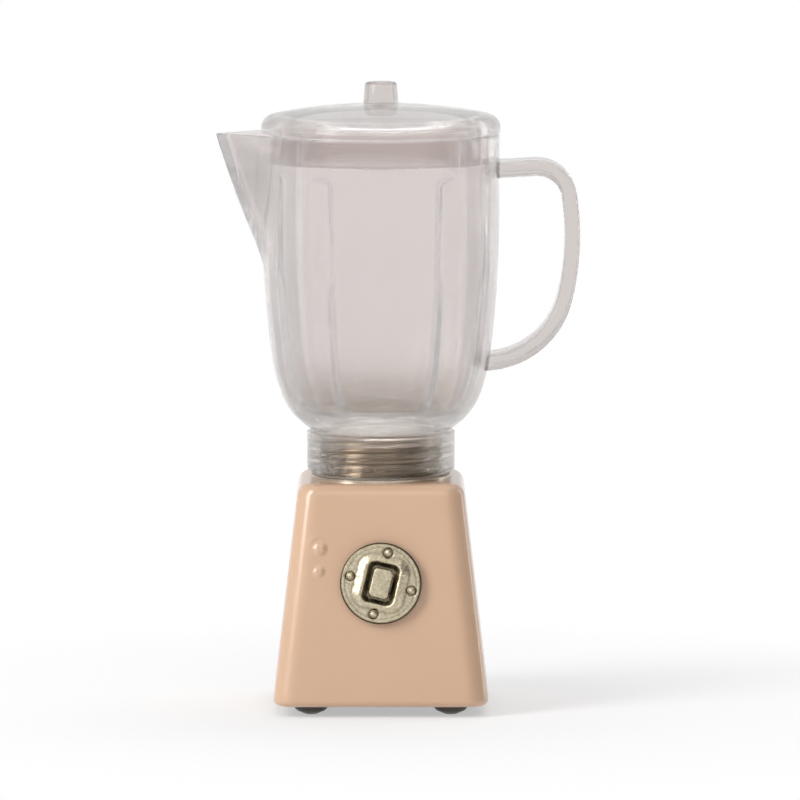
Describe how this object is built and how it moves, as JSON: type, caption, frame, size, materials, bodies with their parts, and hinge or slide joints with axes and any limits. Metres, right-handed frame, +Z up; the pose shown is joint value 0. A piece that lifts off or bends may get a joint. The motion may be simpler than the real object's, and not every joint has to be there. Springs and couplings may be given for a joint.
{
  "type": "toy blender",
  "caption": "Doll's house toy countertop blender: tapered enamelled base with a turning dial, and a clear ribbed jug with spout, handle and lift-off lid.",
  "frame": {"origin": "on the floor under the middle of the whole object's box", "axes": "+Z up along the jar, -Y the front with the dial, -X the spout, +X the handle"},
  "size_m": [0.0382, 0.0252, 0.0657],
  "materials": {
    "enamel": "thick glossy peach enamel",
    "dark_plate": "thin dark sheet, satin",
    "foot_rubber": "dark moulded bumper, slight gloss",
    "screw_steel": "plain plated steel",
    "silver_metal": "bright turned metal with a thread",
    "aged_nickel": "grainy antiqued nickel with dark recesses",
    "washer_fibre": "dark fibre washer",
    "seal_clear": "milky soft ring",
    "clear_plastic": "clear moulded plastic with a faint pink-grey tint"
  },
  "bodies": {
    "base": {"base_housing": "enamel", "bottom_plate": "dark_plate", "foot_front_left": "foot_rubber", "foot_front_right": "foot_rubber", "foot_rear_left": "foot_rubber", "foot_rear_right": "foot_rubber", "bottom_plate_screws": "screw_steel", "jar_boss": "silver_metal", "boss_washer": "screw_steel", "boss_screw": "screw_steel", "dial_washer": "washer_fibre"},
    "dial": {"dial_plate": "aged_nickel", "dial_rivets": "aged_nickel", "dial_retaining_ring": "screw_steel", "key_spring": "screw_steel"},
    "key": {"dial_key": "aged_nickel", "key_clip": "screw_steel"},
    "seal": {"neck_seal": "seal_clear"},
    "jar": {"jar_bowl": "clear_plastic", "jar_handle": "clear_plastic"},
    "lid": {"lid_cap": "clear_plastic", "lid_knob": "clear_plastic"}
  },
  "joints": [
    {"name": "dial_turn", "type": "hinge", "parent": "base", "child": "dial", "pos_m": [-0.00177, -0.00979, 0.014], "axis": [0, -0.9932, 0.1161], "continuous": true},
    {"name": "key_press", "type": "slide", "parent": "dial", "child": "key", "axis": [0, 0.9932, -0.1161], "range_m": [0, 0.00036], "stiffness_N_per_m": 120, "deforming": ["key_spring"]},
    {"name": "seal_climb", "type": "slide", "parent": "base", "child": "seal", "axis": [0, 0, 1], "range_m": [0, 0.0036]},
    {"name": "jar_unscrew", "type": "hinge", "parent": "seal", "child": "jar", "pos_m": [-0.00177, 0, 0.0245], "axis": [0, 0, 1], "range_deg": [0, 1080]},
    {"name": "lid_lift", "type": "slide", "parent": "jar", "child": "lid", "axis": [0, 0, 1], "range_m": [0, 0.018]}
  ],
  "couplings": [
    {"joint": "seal_climb", "follows": "jar_unscrew", "m_per_rad": 0.00019099}
  ]
}
